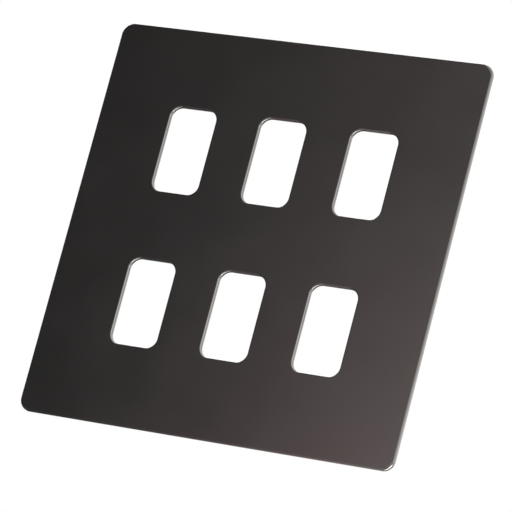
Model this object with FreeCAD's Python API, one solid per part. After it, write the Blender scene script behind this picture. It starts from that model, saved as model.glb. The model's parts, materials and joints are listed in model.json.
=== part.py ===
import FreeCAD, Part
import math
import os
from FreeCAD import Vector

# Screwless grid switch plate for a double wall box: a pierced metal sheet bonded to a moulded clip frame.
# X runs right and Z up along the wall, the front faces -Y, and the wall is the plane Y = 0.
# All sizes are in millimetres.

# The pierced sheet: square, with rounded corners and a softened front edge.
PLATE_WIDTH = 146.0
PLATE_HEIGHT = 146.0
SHEET_THICKNESS = 1.5
PLATE_CORNER_RADIUS = 4.2
FRONT_EDGE_RADIUS = 0.5

# The openings that the switch modules look out of.
COLUMNS = 3
ROWS = 2
COLUMN_PITCH = 35.6
ROW_PITCH = 56.7
OPENING_WIDTH = 18.1
OPENING_HEIGHT = 31.5
OPENING_CORNER_RADIUS = 3.8

# The clip frame: a web on the back of the sheet, a rim down to the wall and windows behind the openings.
WALL_STAND_OFF = 2.5
WEB_THICKNESS = 1.2
RIM_INSET = 3.0
RIM_THICKNESS = 1.6
RIM_CORNER_RADIUS = 4.0
WINDOW_MARGIN = 3.2
WINDOW_CORNER_RADIUS = 3.0

# Lattice of stiffening ribs along the edges of the windows, which stops short of the wall.
RIB_THICKNESS = 1.2
RIB_WALL_GAP = 0.4

# Snap hooks, two at each end of a row, which reach past the wall plane and catch behind the grid frame.
HOOK_WIDTH = 9.0
HOOK_PAIR_SPACING = 24.0
HOOK_THICKNESS = 1.7
HOOK_TAPER = 0.4
HOOK_ROOT_RADIUS = 0.7
CATCH_DEPTH = 2.4
BARB_HEIGHT = 1.0
BARB_RETURN = 0.7
BARB_LAND = 0.6
BARB_LEAD_IN = 2.8
TIP_SET_BACK = 0.5
TIP_RADIUS = 0.3
RELIEF_CLEARANCE = 0.4

# Notch in the lower rim for the blade that levers the plate off.
LEVER_NOTCH_WIDTH = 10.0

# Planes of the stack, front to back.
sheet_front = -WALL_STAND_OFF - SHEET_THICKNESS
sheet_back = -WALL_STAND_OFF
web_back = sheet_back + WEB_THICKNESS
rib_top = -RIB_WALL_GAP
wall = 0.0

# Sizes that follow from the ones above.
rim_width = PLATE_WIDTH - 2 * RIM_INSET
rim_height = PLATE_HEIGHT - 2 * RIM_INSET
window_width = OPENING_WIDTH + 2 * WINDOW_MARGIN
window_height = OPENING_HEIGHT + 2 * WINDOW_MARGIN
column_places = [(i - (COLUMNS - 1) / 2) * COLUMN_PITCH for i in range(COLUMNS)]
row_places = [(i - (ROWS - 1) / 2) * ROW_PITCH for i in range(ROWS)]
opening_places = [(x, z) for z in row_places for x in column_places]


def rounded_outline(corners, radii):
    """Closed wire through the corner points, each corner rounded by a tangent arc of its own radius."""
    count = len(corners)
    entries = []
    exits = []
    bows = []
    for i in range(count):
        here = corners[i]
        back = (corners[i - 1] - here).normalize()
        ahead = (corners[(i + 1) % count] - here).normalize()
        half_angle = back.getAngle(ahead) / 2
        reach = radii[i] / math.tan(half_angle)
        entries.append(here + back * reach)
        exits.append(here + ahead * reach)
        middle = (back + ahead).normalize()
        bows.append(here + middle * (radii[i] / math.sin(half_angle) - radii[i]))
    edges = []
    for i in range(count):
        if radii[i] > 0:
            edges.append(Part.Arc(entries[i], bows[i], exits[i]).toShape())
        edges.append(Part.LineSegment(exits[i], entries[(i + 1) % count]).toShape())
    return Part.Wire(edges)


def rounded_slab(x, z, width, height, radius, front, back):
    """Upright slab with a rounded rectangular outline about (x, z), from one depth to another."""
    half_w = width / 2
    half_h = height / 2
    corners = [
        Vector(x - half_w, front, z - half_h),
        Vector(x + half_w, front, z - half_h),
        Vector(x + half_w, front, z + half_h),
        Vector(x - half_w, front, z + half_h),
    ]
    outline = rounded_outline(corners, [max(radius, 0)] * 4)
    return Part.Face(outline).extrude(Vector(0, back - front, 0))


def block(x_low, x_high, z_low, z_high, front, back):
    """Plain block between two limits in X and Z and two depths."""
    return Part.makeBox(x_high - x_low, back - front, z_high - z_low, Vector(x_low, front, z_low))


def edges_at_depth(solid, depth):
    """Edges of a solid that lie wholly in one plane parallel to the wall."""
    flat = 1e-6
    found = []
    for edge in solid.Edges:
        box = edge.BoundBox
        if abs(box.YMin - depth) < flat and abs(box.YMax - depth) < flat:
            found.append(edge)
    return found


def make_face_plate():
    """Stamped sheet: pierced six times, with its front edges rounded all round before plating."""
    sheet = rounded_slab(0, 0, PLATE_WIDTH, PLATE_HEIGHT, PLATE_CORNER_RADIUS, sheet_front, sheet_back)
    piercings = [
        rounded_slab(x, z, OPENING_WIDTH, OPENING_HEIGHT, OPENING_CORNER_RADIUS, sheet_front, sheet_back)
        for x, z in opening_places
    ]
    sheet = sheet.cut(piercings)
    return sheet.makeFillet(FRONT_EDGE_RADIUS, edges_at_depth(sheet, sheet_front))


def make_rim():
    """Wall that follows the outline of the web and carries the plate on the wall."""
    inner_width = rim_width - 2 * RIM_THICKNESS
    inner_height = rim_height - 2 * RIM_THICKNESS
    inner_radius = RIM_CORNER_RADIUS - RIM_THICKNESS
    rim = rounded_slab(0, 0, rim_width, rim_height, RIM_CORNER_RADIUS, sheet_back, wall)
    return rim.cut(rounded_slab(0, 0, inner_width, inner_height, inner_radius, sheet_back, wall))


def make_ribs():
    """Lattice on the web: a rib along each side of every column and row of windows, from rim to rim."""
    half_rib = RIB_THICKNESS / 2
    reach_x = (rim_width - RIM_THICKNESS) / 2
    reach_z = (rim_height - RIM_THICKNESS) / 2
    beside = (window_width + RIB_THICKNESS) / 2
    above = (window_height + RIB_THICKNESS) / 2
    uprights = [x + step for x in column_places for step in (-beside, beside)]
    levels = [z + step for z in row_places for step in (-above, above)]
    ribs = [block(x - half_rib, x + half_rib, -reach_z, reach_z, sheet_back, rib_top) for x in uprights]
    ribs += [block(-reach_x, reach_x, z - half_rib, z + half_rib, sheet_back, rib_top) for z in levels]
    return ribs


def hook_places():
    """Inner face of each hook's leg in X, its middle in Z and the side that its barb points to."""
    rib_outside = column_places[-1] + window_width / 2 + RIB_THICKNESS
    rim_inside = rim_width / 2 - RIM_THICKNESS
    leg_inside = (rib_outside + rim_inside - HOOK_THICKNESS) / 2
    places = []
    for side in (-1, 1):
        for row in row_places:
            for step in (-HOOK_PAIR_SPACING / 2, HOOK_PAIR_SPACING / 2):
                places.append((side * leg_inside, row + step, side))
    return places


def make_hook(leg_x, middle_z, side):
    """Cantilever snap hook: a tapered leg with a filleted root, and a barb with a lead-in and a return slope."""
    barb_top = CATCH_DEPTH + BARB_RETURN
    lead_start = barb_top + BARB_LAND
    tip = lead_start + BARB_LEAD_IN
    profile = [
        (-HOOK_ROOT_RADIUS * 2, sheet_back, 0),
        (HOOK_THICKNESS, sheet_back, 0),
        (HOOK_THICKNESS, CATCH_DEPTH, 0),
        (HOOK_THICKNESS + BARB_HEIGHT, barb_top, 0),
        (HOOK_THICKNESS + BARB_HEIGHT, lead_start, 0),
        (HOOK_THICKNESS - TIP_SET_BACK, tip, TIP_RADIUS),
        (HOOK_TAPER, tip, 0),
        (0, web_back, HOOK_ROOT_RADIUS),
        (-HOOK_ROOT_RADIUS * 2, web_back, 0),
    ]
    low_z = middle_z - HOOK_WIDTH / 2
    corners = [Vector(leg_x + side * out, depth, low_z) for out, depth, radius in profile]
    outline = rounded_outline(corners, [radius for out, depth, radius in profile])
    return Part.Face(outline).extrude(Vector(0, 0, HOOK_WIDTH))


def make_hook_relief(leg_x, middle_z, side):
    """Hole in the web under a barb, where the mould core that shapes the catch comes through."""
    near = leg_x + side * HOOK_THICKNESS
    far = near + side * (BARB_HEIGHT + RELIEF_CLEARANCE)
    half = HOOK_WIDTH / 2 + RELIEF_CLEARANCE
    return block(min(near, far), max(near, far), middle_z - half, middle_z + half, sheet_back, web_back)


def make_clip_frame():
    """Moulded carrier: web, rim, ribs and hooks in one piece."""
    web = rounded_slab(0, 0, rim_width, rim_height, RIM_CORNER_RADIUS, sheet_back, web_back)
    windows = [
        rounded_slab(x, z, window_width, window_height, WINDOW_CORNER_RADIUS, sheet_back, web_back)
        for x, z in opening_places
    ]
    reliefs = [make_hook_relief(*place) for place in hook_places()]
    hooks = [make_hook(*place) for place in hook_places()]
    frame = web.cut(windows + reliefs).fuse([make_rim()] + make_ribs() + hooks)
    half_notch = LEVER_NOTCH_WIDTH / 2
    rim_outside = -rim_height / 2
    notch = block(-half_notch, half_notch, rim_outside, rim_outside + RIM_THICKNESS, web_back, wall)
    return frame.cut(notch).removeSplitter()


os.makedirs("parts", exist_ok=True)
make_face_plate().exportStep("parts/face_plate.step")
make_clip_frame().exportStep("parts/clip_frame.step")
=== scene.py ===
import json
import math
from functools import partial, reduce

import bmesh
import bpy
import numpy as np
from mathutils import Matrix, Vector


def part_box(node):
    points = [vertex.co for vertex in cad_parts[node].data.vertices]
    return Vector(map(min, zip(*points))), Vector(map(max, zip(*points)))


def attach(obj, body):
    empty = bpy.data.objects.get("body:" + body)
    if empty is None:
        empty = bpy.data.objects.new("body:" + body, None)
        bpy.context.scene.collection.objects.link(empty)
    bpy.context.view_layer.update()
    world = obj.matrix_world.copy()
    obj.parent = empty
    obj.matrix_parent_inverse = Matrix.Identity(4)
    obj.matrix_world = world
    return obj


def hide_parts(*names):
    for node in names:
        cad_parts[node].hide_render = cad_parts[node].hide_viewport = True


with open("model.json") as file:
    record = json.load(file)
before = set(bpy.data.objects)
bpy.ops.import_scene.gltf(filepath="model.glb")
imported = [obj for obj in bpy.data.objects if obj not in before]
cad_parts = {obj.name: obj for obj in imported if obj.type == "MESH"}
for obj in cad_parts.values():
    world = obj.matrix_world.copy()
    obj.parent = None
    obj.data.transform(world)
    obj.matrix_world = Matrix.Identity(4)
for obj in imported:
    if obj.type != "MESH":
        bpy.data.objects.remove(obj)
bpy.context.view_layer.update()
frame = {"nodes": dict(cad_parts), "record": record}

# Face plate: the square sheet that is seen on the wall, with six openings for switch modules.
# It is pressed and pierced steel with its front edges rolled soft, polished and plated in dark nickel.
# The clip frame is bonded to its back.
MM = 0.001
OPENING_WIDTH = 18.1 * MM
OPENING_HEIGHT = 31.5 * MM
OPENING_CORNER_RADIUS = 3.8 * MM
PLATE_CORNER_RADIUS = 4.2 * MM
FRONT_EDGE_RADIUS = 0.5 * MM
CORNER_POLISH = 0.3 * MM
BACK_EDGE_BREAK = 0.1 * MM

# Steps of the mesh along the lines and round the edges, and shares of the way across the face and the back.
STRAIGHT_STEPS = 6
CORNER_STEPS = 8
EDGE_STEPS = 10
BREAK_STEPS = 3
FACE_SHARES = np.array([0.0, 0.08, 0.92, 1.0])
BACK_SHARES = np.array([0.0, 1.0])
WELD = 0.0001 * MM
RECORD_DIGITS = 6

# Colours of the plating, with a painted highlight on the openings' edges, and how much of it an edge gets
# from its side to its top.
DARK_NICKEL = (0.145, 0.1325, 0.1305, 1.0)
CLOUDED_NICKEL = (0.1335, 0.122, 0.121, 1.0)
TURNED_EDGE = (0.150, 0.141, 0.139, 1.0)
PIERCED_EDGE_HIGHLIGHT = (0.250, 0.237, 0.235, 1.0)
# Colours of the openings' walls: partly their sheared and torn zones, partly a painted reflection.
SHEARED_WALL_REFLECTION = (0.045, 0.043, 0.042, 1.0)
TORN_WALL_REFLECTION = (0.270, 0.262, 0.259, 1.0)
HIGHLIGHT_TURN = (0.1, 0.6)
HIGHLIGHT_SHARE = (1.0, 0.2)

# Spans of the edge's marks over which each colour comes in, the painted highlight among them.
EDGE_FROM = (0.0, 0.15)
HIGHLIGHT_FROM = (0.2, 0.6)
UPRIGHT_FROM = (0.9, 1.0)
INSIDE_FROM = (0.0, 0.18)

# Clouds and haze in the polish, and the grain of the openings' walls.
CLOUD_SCALE = 38.0
CLOUD_DETAIL = 3.0
CLOUD_SPAN = (0.3, 0.7)
CLOUD_ROUGHNESS = (0.10, 0.14)
HAZE_SCALE = 900.0
HAZE_ROUGHNESS = 0.02
FINE_DETAIL = 2.0
WALL_ROUGHNESS = 0.10
WALL_GRAIN = (2600.0, 160.0, 2600.0)
WALL_GRAIN_DEPTH = 0.02 * MM
WAVE_DEPTH = 0.02 * MM
WAVE_STRENGTH = 0.15


def rounded_line(centre, reach, radii):
    """Closed line round a rectangle, with a radius at each corner, in eight pieces from middles to corners.

    The reach from the centre is given to the right, top, left and bottom, and the corners follow from the
    lower right. A piece runs straight to where its corner starts, and then round half the corner by sine and
    cosine. A sharp corner has its points evenly along its sides instead, so that tiles that share a side
    share its points. Gives the points and the outward directions, in X and Z, anticlockwise as seen from the
    front.
    """
    step = np.arange(STRAIGHT_STEPS + CORNER_STEPS + 1)
    radius = np.asarray(radii)[:, None]
    is_round = radius > 0
    run = np.where(is_round, np.minimum(step / STRAIGHT_STEPS, 1), step / step[-1])
    turn = np.where(is_round, np.maximum(step - STRAIGHT_STEPS, 0) / CORNER_STEPS * math.pi / 4, 0)
    ahead_reach = np.asarray(reach)[:, None] - radius
    aside_reach = np.roll(reach, 1)[:, None] - radius
    ahead = np.stack((ahead_reach * run + radius * np.sin(turn),
                      (ahead_reach + radius * np.cos(turn))[:, ::-1]), axis=1)
    aside = np.stack((aside_reach + radius * np.cos(turn),
                      (aside_reach * run + radius * np.sin(turn))[:, ::-1]), axis=1)
    ahead_turn = np.stack((np.sin(turn), np.cos(turn)[:, ::-1]), axis=1)
    aside_turn = np.stack((np.cos(turn), np.sin(turn)[:, ::-1]), axis=1)
    ahead_axis = np.array([(1, 0), (0, 1), (-1, 0), (0, -1)])[:, None, None, :]
    aside_axis = -np.roll(ahead_axis, -1, axis=0)
    points = centre + ahead[..., None] * ahead_axis + aside[..., None] * aside_axis
    outward = ahead_turn[..., None] * ahead_axis + aside_turn[..., None] * aside_axis
    return points.reshape(8, -1, 2), outward.reshape(8, -1, 2)


# Side of the rectangle that each of a line's eight pieces lies on, in the order of the reach.
PIECE_SIDES = [3, 0, 0, 1, 1, 2, 2, 3]


def edge_section(radius, thickness):
    """Section of the sheet's edge from face to back: a quarter round, a straight wall and a small break.

    The radius of the round is given at every point along the edge. Gives how far the section stands out from
    the rim of the flat face, its depth behind the face, its direction as a part outwards and a part to the
    front, and how far it is through the straight wall.
    """
    front_turn = np.linspace(0, math.pi / 2, EDGE_STEPS + 1)[:, None]
    back_turn = np.linspace(0, math.pi / 2, BREAK_STEPS + 1)[:, None]
    radius = radius[:, None]
    out = np.concatenate((radius * np.sin(front_turn),
                          radius - BACK_EDGE_BREAK * (1 - np.cos(back_turn))), axis=1)
    back_level = np.full_like(radius, thickness)
    depth = np.concatenate((radius * (1 - np.cos(front_turn)),
                            back_level - BACK_EDGE_BREAK * (1 - np.sin(back_turn))), axis=1)
    facing_out = np.concatenate((np.sin(front_turn), np.cos(back_turn)))
    facing_front = np.concatenate((np.cos(front_turn), -np.sin(back_turn)))
    through = np.concatenate((np.zeros_like(front_turn), np.ones_like(back_turn)))
    return out, depth, facing_out, facing_front, through


def flat_ring(inner, outer, shares, level, facing):
    """Flat ring between two lines: points at shares of the way from the inner to the outer, at one depth."""
    plan = inner[:, None] + (outer - inner)[:, None] * shares[:, None, None]
    points = np.stack((plan[..., 0], np.full(plan.shape[:-1], level), plan[..., 1]), axis=-1)
    normals = np.broadcast_to((0.0, -facing, 0.0), points.shape)
    return points, normals, np.zeros(points.shape)


def turned_edge(line, out_of_metal, section, front, painted_share):
    """Edge section carried along a line: each point moves out of the metal and back, as the section gives.

    The last array marks how far the section faces outwards, the same times the share of painted highlight
    at that place, and how far it is through the wall.
    """
    out, depth, facing_out, facing_front, through = section
    plan = line[:, None] + out_of_metal[:, None] * out[..., None]
    level = front + depth
    points = np.stack((plan[..., 0], level, plan[..., 1]), axis=-1)
    across = out_of_metal[:, None] * facing_out[..., None]
    to_front = np.broadcast_to(-facing_front, level.shape)
    normals = np.stack((across[..., 0], to_front, across[..., 1]), axis=-1)
    shape_and_highlight = np.stack(np.broadcast_arrays(facing_out, facing_out * painted_share[:, None], through), axis=-1)
    return points, normals, np.broadcast_to(shape_and_highlight, points.shape)


def plate_tile(centre, low, high, on_edge, front, back):
    """Piece of the sheet round one opening: face ring, back ring, the opening's edge and the plate's own.

    Both rings run from the opening to the tile's border, and only the plate's own sides carry an edge.
    Polishing wears the plate's corners more: there the round grows by the sine of twice the way round the
    corner. The openings' edges carry a painted highlight, which falls evenly as they turn to face down.
    Gives each grid, and whether its quads are flipped.
    """
    rounded = on_edge & np.roll(on_edge, 1)
    reach = np.array([high[0] - centre[0], high[1] - centre[1], centre[0] - low[0], centre[1] - low[1]])
    opening = np.array([OPENING_WIDTH, OPENING_HEIGHT, OPENING_WIDTH, OPENING_HEIGHT]) / 2

    def lines(inset):
        hole = rounded_line(centre, opening + inset, np.full(4, OPENING_CORNER_RADIUS + inset))
        corner_radii = np.where(rounded, PLATE_CORNER_RADIUS - inset, 0)
        return hole, rounded_line(centre, reach - inset * on_edge, corner_radii)

    (hole, hole_out), (border, border_out) = lines(FRONT_EDGE_RADIUS)
    (back_hole, _), (back_border, _) = lines(BACK_EDGE_BREAK)
    polish = CORNER_POLISH * 2 * np.abs(border_out.prod(axis=-1))
    border = border - border_out * polish[..., None]
    own = on_edge[PIECE_SIDES]
    hole_section = edge_section(np.full(hole.shape[:-1], FRONT_EDGE_RADIUS), back - front)
    border_section = edge_section((FRONT_EDGE_RADIUS + polish)[own], back - front)
    # Painted highlight share: falls as an opening's edge turns to face down; the plate's own edges get none.
    hole_highlight = np.interp(hole_out[..., 1], HIGHLIGHT_TURN, HIGHLIGHT_SHARE)
    border_highlight = np.zeros_like(polish[own])
    return [
        (flat_ring(hole, border, FACE_SHARES, front, 1.0), False),
        (flat_ring(back_hole, back_border, BACK_SHARES, back, -1.0), True),
        (turned_edge(hole, -hole_out, hole_section, front, hole_highlight), True),
        (turned_edge(border[own], border_out[own], border_section, front, border_highlight), False),
    ]


def grid_quads(shape, flipped):
    """Corner numbers of the quads of separate grids: rows then columns, or the reverse if flipped."""
    number = np.arange(math.prod(shape)).reshape(shape)
    near, far = number[:, :-1], number[:, 1:]
    quads = np.stack((near[..., :-1], far[..., :-1], far[..., 1:], near[..., 1:]), axis=-1).reshape(-1, 4)
    return quads[:, ::-1] if flipped else quads


def welded_mesh(name, grids, mark):
    """One mesh from grids of points: equal points are made one, and each grid keeps its exact normals."""
    points, normals, marks = (np.concatenate([grid[k].reshape(-1, 3) for grid, flipped in grids])
                              for k in range(3))
    shapes = [grid[0].shape[:-1] for grid, flipped in grids]
    starts = np.cumsum([0] + [math.prod(shape) for shape in shapes])
    quads = np.concatenate([start + grid_quads(shape, flipped)
                            for start, shape, (grid, flipped) in zip(starts, shapes, grids)])
    _, first, same = np.unique(np.round(points / WELD), axis=0, return_index=True, return_inverse=True)
    mesh = bpy.data.meshes.new(name)
    mesh.from_pydata(points[first], [], same.reshape(-1)[quads])
    mesh.attributes.new(mark, "FLOAT_VECTOR", "POINT").data.foreach_set("vector", marks[first].reshape(-1))
    mesh.polygons.foreach_set("use_smooth", np.ones(len(quads), dtype=bool))
    mesh.normals_split_custom_set(normals[quads.reshape(-1)])
    mesh.update()
    return mesh


def fill(tree, node, inputs):
    """Inputs of a shader node set to values, or joined to other nodes' outputs."""
    for name, value in inputs.items():
        if isinstance(value, bpy.types.NodeSocket):
            tree.links.new(value, node.inputs[name])
        else:
            node.inputs[name].default_value = value


def add_node(tree, kind, inputs=None, **options):
    """New shader node, with its options set before its inputs are filled."""
    node = tree.nodes.new(kind)
    for name, value in options.items():
        setattr(node, name, value)
    fill(tree, node, inputs or {})
    return node


def reckon(tree, operation, *terms):
    """Output of one arithmetic step on numbers and other nodes' outputs."""
    return add_node(tree, "ShaderNodeMath", dict(enumerate(terms)), operation=operation).outputs["Value"]


def ramp(tree, value, span, reach=(0.0, 1.0), kind="LINEAR"):
    """Output that goes from one end of the reach to the other as the value crosses the span."""
    limits = {"From Min": span[0], "From Max": span[1], "To Min": reach[0], "To Max": reach[1]}
    return add_node(tree, "ShaderNodeMapRange", {"Value": value, **limits},
                    interpolation_type=kind).outputs["Result"]


def blended(tree, share, first, second):
    """Output colour that goes evenly from the first to the second as the share goes from nought to one."""
    return add_node(tree, "ShaderNodeMix", {"Factor": share, "A": first, "B": second},
                    data_type="RGBA").outputs["Result"]


def clouds(tree, place, scale, detail, distortion=0.0):
    """Output of soft noise from nought to one, with the scale as clouds to a unit of the place."""
    return add_node(tree, "ShaderNodeTexNoise", {
        "Vector": place, "Scale": scale, "Detail": detail, "Distortion": distortion}).outputs["Fac"]


def blank_material(name):
    """New node material, with its tree and its surface shader."""
    material = bpy.data.materials.new(name)
    material.use_nodes = True
    return material, material.node_tree, material.node_tree.nodes["Principled BSDF"]


def dark_nickel():
    """Polished dark plating: faint clouds in colour and gloss, slight waviness, and duller grained walls.

    The walls of the openings are sheared smooth at the front and torn towards the back. Their colour goes
    from dark at the front to paler at the back, partly for these zones and partly as a painted reflection.
    """
    material, tree, surface = blank_material("dark_nickel_plating")
    place = add_node(tree, "ShaderNodeTexCoord").outputs["Object"]
    shape_and_highlight = add_node(tree, "ShaderNodeAttribute", attribute_name="edge_shape_and_highlight").outputs["Vector"]
    marks = add_node(tree, "ShaderNodeSeparateXYZ", {"Vector": shape_and_highlight})
    facing_out, painted_share, through = (marks.outputs[axis] for axis in "XYZ")
    wall = reckon(tree, "MULTIPLY", ramp(tree, facing_out, UPRIGHT_FROM), ramp(tree, painted_share, INSIDE_FROM))

    cloud = clouds(tree, place, CLOUD_SCALE, CLOUD_DETAIL)
    colour = blended(tree, cloud, DARK_NICKEL, CLOUDED_NICKEL)
    colour = blended(tree, ramp(tree, facing_out, EDGE_FROM), colour, TURNED_EDGE)
    # Painted highlight: the openings' edges are made much lighter, by their share.
    colour = blended(tree, ramp(tree, painted_share, HIGHLIGHT_FROM), colour, PIERCED_EDGE_HIGHLIGHT)
    # The walls' dark front and pale back are partly the sheared and torn zones and partly a painted
    # reflection.
    colour = blended(tree, wall, colour, blended(tree, through, SHEARED_WALL_REFLECTION, TORN_WALL_REFLECTION))

    haze = clouds(tree, place, HAZE_SCALE, FINE_DETAIL)
    roughness = ramp(tree, cloud, CLOUD_SPAN, CLOUD_ROUGHNESS)
    roughness = reckon(tree, "MULTIPLY_ADD", haze, HAZE_ROUGHNESS, roughness)
    roughness = reckon(tree, "MULTIPLY_ADD", wall, WALL_ROUGHNESS, roughness)

    stretched = add_node(tree, "ShaderNodeMapping", {"Vector": place, "Scale": WALL_GRAIN}).outputs["Vector"]
    grain = clouds(tree, stretched, 1.0, FINE_DETAIL)
    grained = add_node(tree, "ShaderNodeBump", {
        "Strength": wall, "Distance": WALL_GRAIN_DEPTH, "Height": grain}).outputs["Normal"]
    waved = add_node(tree, "ShaderNodeBump", {
        "Strength": WAVE_STRENGTH, "Distance": WAVE_DEPTH, "Height": cloud,
        "Normal": grained}).outputs["Normal"]
    fill(tree, surface, {"Base Color": colour, "Roughness": roughness, "Normal": waved, "Metallic": 1.0})
    return material


sheet_low, sheet_high = (np.array(corner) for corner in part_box("face_plate"))
opening_boxes = np.array([opening["box_m"] for opening in frame["record"]["physics"]["openings"]])
opening_centres = np.round(opening_boxes.mean(axis=1), RECORD_DIGITS)
columns = np.unique(opening_centres[:, 0])
rows = np.unique(opening_centres[:, 2])
column_borders = np.concatenate((sheet_low[:1], (columns[1:] + columns[:-1]) / 2, sheet_high[:1]))
row_borders = np.concatenate((sheet_low[2:], (rows[1:] + rows[:-1]) / 2, sheet_high[2:]))
tiles = []
for i, x in enumerate(columns):
    for j, z in enumerate(rows):
        plate_sides = np.array([i == len(columns) - 1, j == len(rows) - 1, i == 0, j == 0])
        tile_low = (column_borders[i], row_borders[j])
        tile_high = (column_borders[i + 1], row_borders[j + 1])
        tiles += plate_tile((x, z), tile_low, tile_high, plate_sides, sheet_low[1], sheet_high[1])
face_plate = bpy.data.objects.new("plated_face", welded_mesh("plated_face", tiles, "edge_shape_and_highlight"))
face_plate.data.materials.append(dark_nickel())
bpy.context.scene.collection.objects.link(face_plate)
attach(face_plate, "root")
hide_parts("face_plate")

# Clip frame: the carrier behind the sheet, with a rim that seats on the wall, ribs, windows and snap hooks.
# It is one black moulding with a fine spark-eroded grain and slightly rounded edges.
# It is bonded to the back of the sheet, and its hooks catch behind the grid frame in the wall box.
MOULDED_EDGE = 0.16 * MM
MOULDED_EDGE_SEGMENTS = 2
MOULDED_EDGE_ANGLE = 35.0
MOULDED_EDGE_START = -0.55 * MM
MERGE = 0.001 * MM
FLAT_ANGLE = 0.5
BLACK_MOULDING = (0.017, 0.017, 0.018, 1.0)
WORN_MOULDING = (0.026, 0.026, 0.027, 1.0)
MOULDING_SPECULAR = 0.38
FLOW_SCALE = 55.0
FLOW_DETAIL = 3.0
FLOW_DISTORTION = 0.6
FLOW_SPAN = (0.3, 0.7)
FLOW_ROUGHNESS = (0.40, 0.52)
ERODED_SCALE = 2600.0
ERODED_DEPTH = 0.03 * MM
ERODED_STRENGTH = 0.5


def black_moulding():
    """Black plastic: fine eroded grain in the bump, and soft flow clouds in tone and gloss."""
    material, tree, surface = blank_material("black_moulding")
    place = add_node(tree, "ShaderNodeTexCoord").outputs["Object"]
    flow = clouds(tree, place, FLOW_SCALE, FLOW_DETAIL, FLOW_DISTORTION)
    grain = clouds(tree, place, ERODED_SCALE, FINE_DETAIL)
    eroded = add_node(tree, "ShaderNodeBump", {
        "Strength": ERODED_STRENGTH, "Distance": ERODED_DEPTH, "Height": grain}).outputs["Normal"]
    fill(tree, surface, {
        "Base Color": blended(tree, flow, BLACK_MOULDING, WORN_MOULDING),
        "Roughness": ramp(tree, flow, FLOW_SPAN, FLOW_ROUGHNESS),
        "Normal": eroded,
        "Specular IOR Level": MOULDING_SPECULAR})
    return material


# The moulding is a copy of the solid's mesh, joined up and with its flat faces made whole. Its sharp edges
# near the wall and past it are softened, and those on the sheet and the web stay as they are.
clip_mesh = frame["nodes"]["clip_frame"].data.copy()
clip_mesh.name = "clip_moulding"
whole = bmesh.new()
whole.from_mesh(clip_mesh)
bmesh.ops.remove_doubles(whole, verts=whole.verts, dist=MERGE)
bmesh.ops.dissolve_limit(whole, angle_limit=math.radians(FLAT_ANGLE), verts=whole.verts, edges=whole.edges)
weight = whole.edges.layers.float.new("bevel_weight_edge")
for edge in whole.edges:
    is_near_wall = min(vertex.co.y for vertex in edge.verts) > MOULDED_EDGE_START
    is_sharp = edge.calc_face_angle_signed(0.0) > math.radians(MOULDED_EDGE_ANGLE)
    edge[weight] = float(is_near_wall and is_sharp)
whole.to_mesh(clip_mesh)
whole.free()
clip_mesh.materials.clear()
clip_mesh.materials.append(black_moulding())
clip_moulding = bpy.data.objects.new("clip_moulding", clip_mesh)
bpy.context.scene.collection.objects.link(clip_moulding)
softened = clip_moulding.modifiers.new("moulded_edges", "BEVEL")
softened.width = MOULDED_EDGE
softened.segments = MOULDED_EDGE_SEGMENTS
softened.limit_method = "WEIGHT"
softened.use_clamp_overlap = False
softened.harden_normals = True
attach(clip_moulding, "root")
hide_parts("clip_frame")

# Mould marks: the ringed witness discs that the ejector pins leave on the web's back, and the gate's stub.
# They are of the clip frame's own black plastic, left as the moulding is pushed off the tool and broken off.
WEB_THICKNESS = 1.2 * MM
PIN_SECTION = MM * np.array([
    (2.1, -0.3), (2.1, 0.0), (2.03, 0.09), (1.92, 0.12), (1.80, 0.10), (1.72, 0.03)])
GATE_SECTION = MM * np.array([
    (1.7, -0.3), (1.7, 0.0), (1.55, 0.10), (1.0, 0.16), (0.82, 0.30), (0.75, 0.55)])
GATE_SLANT = 0.16 * MM
GATE_PLACE = np.zeros((1, 2))
MARK_SIDES = 40
CREASE_ANGLE = 50.0
COLUMN_BAY_SHARE = 0.62
ROW_BAY_SHARE = 0.67


def turned_marks(section, slant, centres, level):
    """Closed rounds on the web: a section of radius and height turned about centres by sine and cosine.

    The last ring leans over by the slant times the cosine of the angle, and flat ends close both end rings.
    """
    angle = np.linspace(0, 2 * math.pi, MARK_SIDES, endpoint=False)
    radius, height = (section[:, k, None] for k in range(2))
    lean = slant * np.cos(angle) * (np.arange(len(section)) == len(section) - 1)[:, None]
    ring = np.stack((radius * np.cos(angle), level + height + lean, radius * np.sin(angle)), axis=-1)
    middles = np.stack((centres[:, 0], np.zeros(len(centres)), centres[:, 1]), axis=-1)
    points = middles[:, None, None] + ring
    number = np.arange(points[..., 0].size).reshape(points.shape[:-1])
    ahead = np.roll(number, -1, axis=2)
    sides = np.stack((number[:, :-1], number[:, 1:], ahead[:, 1:], ahead[:, :-1]), axis=-1).reshape(-1, 4)
    return points.reshape(-1, 3), sides, number[:, 0], number[:, -1, ::-1]


# The pins stand in the bays round the windows, apart from the middle one, where the gate is.
web_back = sheet_high[1] + WEB_THICKNESS
outer_column = columns[-1] + (sheet_high[0] - columns[-1]) * COLUMN_BAY_SHARE
outer_row = rows[-1] + (sheet_high[2] - rows[-1]) * ROW_BAY_SHARE
pin_columns = (-outer_column, *columns, outer_column)
pin_rows = (-outer_row, 0.0, outer_row)
pin_places = np.array([(x, z) for x in pin_columns for z in pin_rows])
pin_places = pin_places[np.abs(pin_places).sum(axis=1) > MM]
pins = turned_marks(PIN_SECTION, 0.0, pin_places, web_back)
gate = turned_marks(GATE_SECTION, GATE_SLANT, GATE_PLACE, web_back)
mark_points = np.concatenate((pins[0], gate[0]))
mark_faces = [face for start, marks in ((0, pins), (len(pins[0]), gate))
              for faces in marks[1:] for face in (faces + start).tolist()]
mark_mesh = bpy.data.meshes.new("mould_marks")
mark_mesh.from_pydata(mark_points, [], mark_faces)
mark_mesh.polygons.foreach_set("use_smooth", np.ones(len(mark_faces), dtype=bool))
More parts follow.
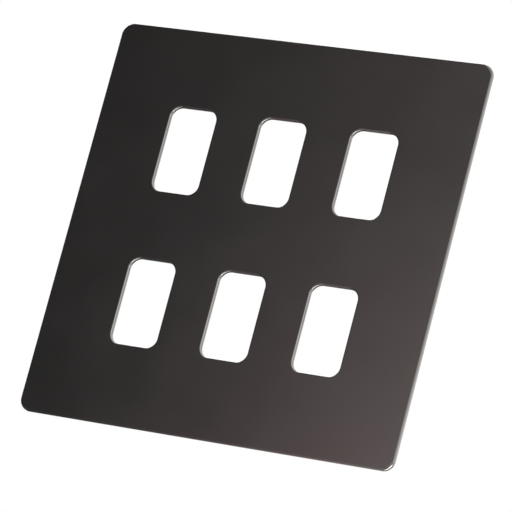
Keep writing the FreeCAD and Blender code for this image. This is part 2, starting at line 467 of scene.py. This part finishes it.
mark_mesh.set_sharp_from_angle(angle=math.radians(CREASE_ANGLE))
mark_mesh.materials.append(clip_mesh.materials[0])
mould_marks = bpy.data.objects.new("mould_marks", mark_mesh)
bpy.context.scene.collection.objects.link(mould_marks)
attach(mould_marks, "root")

# Floor and light: a pale floor under the part, in a white studio with black screens left of the camera.
# A tall soft box fills the right-hand side and fades out to the left, and a wide lamp is low at the right.
# Reflections see that studio, and the rest is lit evenly by the white room and by a lamp behind the part.
FLOOR_LEVEL = -0.75
FLOOR_HALF_SIZE = 4.0
FLOOR_ROUGHNESS = 0.8
PALE_FLOOR = (0.86, 0.86, 0.85, 1.0)
FLOOR_FADE = (0.8, 3.4)
FLOOR_GLOW = (0.3, 0.6)
ROOM_WHITE = 1.0
ROOM_LIGHT = 0.6
SCREEN_BLACK = 0.04

# The soft box. Spans here and below are of a direction's part to the right, to the back or upwards.
BOX_BRIGHTNESS = 1.4
BOX_GAIN = 0.55
BOX_GAIN_SPAN = (-0.90, 0.30)
BOX_LOW_GAIN = 0.5
BOX_LOW_SPAN = (0.165, 0.235)
BOX_LOW_SIDE = (-0.35, 0.0)
BOX_SIDE = -0.343
BOX_FADE = 19.4
BOX_LEAN = 0.34
BOX_LEAN_TURN = 5.0
BOX_LEAN_MOST = 0.6
BOX_LOWEST = 0.12
BOX_HIGHEST = 0.29
BOX_FOOT_LOSS = 0.25
BOX_FOOT_FURTHER_LOSS = 0.72
BOX_FOOT_SPAN = (-0.36, 0.13)
BOX_FOOT_SIDE = (-0.42, -0.15)
BOX_FOOT_DEPTH = (-0.45, -0.05)
BOX_TOP_LOSS = 0.2
BOX_TOP_SPAN = (0.25, 0.285)
BOX_TOP_LEFT = (-0.46, -0.40)
BOX_TOP_RIGHT = (-0.38, -0.20)
MIDDLE_SIDE = -0.453
MIDDLE_HEIGHT = 0.228
SHADE_BEHIND = (0.30, 0.70)
SHADE_BELOW = (-0.30, -0.10)

# Tint of the light, by how full the box is, and at its right and top.
PLAIN_LIGHT = (0.985, 1.0, 0.97, 1.0)
PLAIN_FROM = (0.40, 0.90)
DIM_LIGHT = (0.895, 1.0, 0.98, 1.0)
ROSY_LIGHT = (1.36, 1.0, 1.04, 1.0)
ROSY_FROM = (0.10, 0.26)
ROSY_SIDE = (-0.424, -0.404)
ROSY_SIDE_LOSS = 0.75
ROSY_TOP = (0.25, 0.27)
ROSY_TOP_SHARE = 0.35

# The low strips, the low lamp, the backdrop behind the part, and the lamp behind it.
LOW_GLOW = 0.8
LOW_GLOW_STRIPS = 12.0
LOW_GLOW_TURN = math.radians(120)
LOW_GLOW_SWING = 0.45
LOW_GLOW_TOP = (-0.32, -0.05)
LOW_GLOW_LEFT = (-0.50, -0.70)
LOW_GLOW_RIGHT = (-0.35, 0.90)
LAMP_BRIGHTNESS = 6.8
LAMP_LEFT = (-0.35, 0.05)
LAMP_SLANT = 1.2
LAMP_NEAR = (-0.20, 0.20)
LAMP_FAR = (0.25, 0.75)
LAMP_TOP = (-0.55, -0.30)
BACKDROP_BRIGHTNESS = 1.8
BACKDROP_LEFT = (-0.45, -0.22)
BACKDROP_NEAR = (0.30, 0.70)
BACKDROP_BOTTOM = (-0.10, 0.15)
BACK_LIGHT_SIZE = 0.7
BACK_LIGHT_POWER = 6.0
BACK_LIGHT_PLACE = (-0.6, 0.9, 0.8)


def studio_world():
    """White room whose reflections see black screens, a soft box, a low lamp, low strips and a backdrop.

    A direction has parts to the side, in depth and in height. The box is full to the right of a line that
    leans over with height, and falls off to the left of it by an exponential of the distance. It gains light
    towards the back and lower down, and loses it at its foot and top, by smooth steps. As it falls off, its
    light goes from plain to rosy and then to cool, with less of the rose at the right and a little of it at
    the top. The lamp and the backdrop are products of smooth steps, and the strips follow a cosine of the
    azimuth.
    """
    world = bpy.data.worlds.new("studio")
    world.use_nodes = True
    world.cycles.sampling_method = "NONE"
    tree = world.node_tree
    direction = add_node(tree, "ShaderNodeTexCoord").outputs["Generated"]
    parts = add_node(tree, "ShaderNodeSeparateXYZ", {"Vector": direction})
    side, depth, height = (parts.outputs[axis] for axis in "XYZ")
    minus = partial(reckon, tree, "SUBTRACT")
    times_plus = partial(reckon, tree, "MULTIPLY_ADD")
    least = partial(reckon, tree, "MINIMUM")
    most = partial(reckon, tree, "MAXIMUM")
    rising = partial(ramp, tree, kind="SMOOTHSTEP")

    def times(*factors):
        return reduce(partial(reckon, tree, "MULTIPLY"), factors)

    def plus(*terms):
        return reduce(partial(reckon, tree, "ADD"), terms)

    def falling(value, span):
        return minus(1.0, rising(value, span))

    # The soft box: how it grows up to its leaning edge, and then its gains and losses.
    lean = times_plus(minus(side, MIDDLE_SIDE), BOX_LEAN_TURN, BOX_LEAN)
    lean = least(most(lean, 0.0), BOX_LEAN_MOST)
    raised = minus(least(most(height, BOX_LOWEST), BOX_HIGHEST), MIDDLE_HEIGHT)
    short = least(minus(minus(side, times(lean, raised)), BOX_SIDE), 0.0)
    growth = reckon(tree, "EXPONENT", times(short, BOX_FADE))
    low = times(rising(side, BOX_LOW_SIDE), falling(height, BOX_LOW_SPAN))
    full = times_plus(rising(depth, BOX_GAIN_SPAN), BOX_GAIN, BOX_BRIGHTNESS)
    full = times_plus(low, BOX_LOW_GAIN, full)
    foot = times(rising(side, BOX_FOOT_SIDE), falling(depth, BOX_FOOT_DEPTH))
    foot = times_plus(foot, BOX_FOOT_FURTHER_LOSS, BOX_FOOT_LOSS)
    foot = times(foot, falling(height, BOX_FOOT_SPAN))
    top = times(rising(side, BOX_TOP_LEFT), falling(side, BOX_TOP_RIGHT), rising(height, BOX_TOP_SPAN))
    top = times(top, BOX_TOP_LOSS)
    shade = times(rising(depth, SHADE_BEHIND), falling(height, SHADE_BELOW))
    box = times(growth, full, minus(1.0, foot), minus(1.0, top), minus(1.0, shade))

    # The backdrop, the low lamp and the low strips.
    backdrop = times(rising(side, BACKDROP_LEFT), rising(depth, BACKDROP_NEAR))
    backdrop = times(backdrop, rising(height, BACKDROP_BOTTOM))
    slanted = times_plus(side, LAMP_SLANT, depth)
    lamp = times(rising(slanted, LAMP_NEAR), falling(depth, LAMP_FAR))
    lamp = times(lamp, rising(side, LAMP_LEFT), falling(height, LAMP_TOP))
    azimuth = reckon(tree, "ARCTAN2", side, times(depth, -1.0))
    strips = reckon(tree, "COSINE", times_plus(azimuth, LOW_GLOW_STRIPS, LOW_GLOW_TURN))
    strips = times_plus(strips, LOW_GLOW_SWING, 1.0 - LOW_GLOW_SWING)
    glow = plus(ramp(tree, side, LOW_GLOW_LEFT), ramp(tree, side, LOW_GLOW_RIGHT))
    glow = times(glow, strips, falling(height, LOW_GLOW_TOP))
    seen = most(box, times(backdrop, BACKDROP_BRIGHTNESS))
    seen = plus(seen, times(lamp, LAMP_BRIGHTNESS), times(glow, LOW_GLOW), SCREEN_BLACK)

    # The tint, and the room in which reflections alone see the studio.
    rose = minus(1.0, times(rising(side, ROSY_SIDE), ROSY_SIDE_LOSS))
    rose = times(rose, rising(growth, ROSY_FROM))
    rose = most(rose, times(rising(height, ROSY_TOP), ROSY_TOP_SHARE))
    tint = blended(tree, rose, DIM_LIGHT, ROSY_LIGHT)
    tint = blended(tree, rising(growth, PLAIN_FROM), tint, PLAIN_LIGHT)
    studio = add_node(tree, "ShaderNodeBackground", {"Color": tint, "Strength": seen})
    ray = add_node(tree, "ShaderNodeLightPath")
    white = times_plus(ray.outputs["Is Camera Ray"], ROOM_WHITE - ROOM_LIGHT, ROOM_LIGHT)
    room = tree.nodes["Background"]
    fill(tree, room, {"Color": (1.0, 1.0, 1.0, 1.0), "Strength": white})
    mixed = add_node(tree, "ShaderNodeMixShader", {
        0: ray.outputs["Is Glossy Ray"], 1: room.outputs["Background"], 2: studio.outputs["Background"]})
    fill(tree, tree.nodes["World Output"], {"Surface": mixed.outputs["Shader"]})
    return world


bpy.context.scene.world = studio_world()
bpy.context.scene.view_settings.view_transform = "Standard"

floor_mesh = bpy.data.meshes.new("floor")
floor_plan = FLOOR_HALF_SIZE * np.array([(-1, -1), (1, -1), (1, 1), (-1, 1)])
floor_mesh.from_pydata(np.column_stack((floor_plan, np.full(4, FLOOR_LEVEL))), [], [(0, 1, 2, 3)])
floor_material, floor_tree, floor_surface = blank_material("pale_floor")
floor_place = add_node(floor_tree, "ShaderNodeTexCoord").outputs["Object"]
floor_distance = add_node(floor_tree, "ShaderNodeVectorMath", {0: floor_place}, operation="LENGTH")
# Painted glow: the floor gives off its own pale light, more of it further from the part.
floor_glow = ramp(floor_tree, floor_distance.outputs["Value"], FLOOR_FADE, FLOOR_GLOW, "SMOOTHSTEP")
fill(floor_tree, floor_surface, {
    "Base Color": PALE_FLOOR,
    "Roughness": FLOOR_ROUGHNESS,
    "Emission Color": PALE_FLOOR,
    "Emission Strength": floor_glow})
floor_mesh.materials.append(floor_material)
floor = bpy.data.objects.new("floor", floor_mesh)
floor.visible_glossy = False
bpy.context.scene.collection.objects.link(floor)

back_light = bpy.data.lights.new("back_light", "AREA")
back_light.shape = "DISK"
back_light.size = BACK_LIGHT_SIZE
back_light.energy = BACK_LIGHT_POWER
back_lamp = bpy.data.objects.new("back_light", back_light)
back_lamp.location = BACK_LIGHT_PLACE
back_lamp.rotation_euler = Vector(BACK_LIGHT_PLACE).to_track_quat("Z", "Y").to_euler()
back_lamp.visible_camera = False
bpy.context.scene.collection.objects.link(back_lamp)

# Camera: a long lens, low and to the right of the part, rolled so that the plate leans over to the right.
# Its place is reckoned from the middle of the plate's face.
CAMERA_AZIMUTH = math.radians(27.70)
CAMERA_ELEVATION = math.radians(-13.15)
CAMERA_DISTANCE = 1.3824
CAMERA_AIM = Vector((0.00265, -0.00400, -0.00586))
CAMERA_ROLL = math.radians(-14.88)
CAMERA_LENS = 280.46
CAMERA_SENSOR = 36.0

face_centre = Vector((0.0, sheet_low[1], 0.0))
towards_camera = Vector((math.sin(CAMERA_AZIMUTH) * math.cos(CAMERA_ELEVATION),
                         -math.cos(CAMERA_AZIMUTH) * math.cos(CAMERA_ELEVATION),
                         math.sin(CAMERA_ELEVATION)))
camera_data = bpy.data.cameras.new("camera")
camera_data.lens = CAMERA_LENS
camera_data.sensor_width = CAMERA_SENSOR
camera = bpy.data.objects.new("camera", camera_data)
camera_place = face_centre + CAMERA_DISTANCE * towards_camera
aimed = (camera_place - CAMERA_AIM).to_track_quat("Z", "Y").to_matrix().to_4x4()
camera.matrix_world = Matrix.Translation(camera_place) @ aimed @ Matrix.Rotation(-CAMERA_ROLL, 4, "Z")
bpy.context.scene.collection.objects.link(camera)
bpy.context.scene.camera = camera
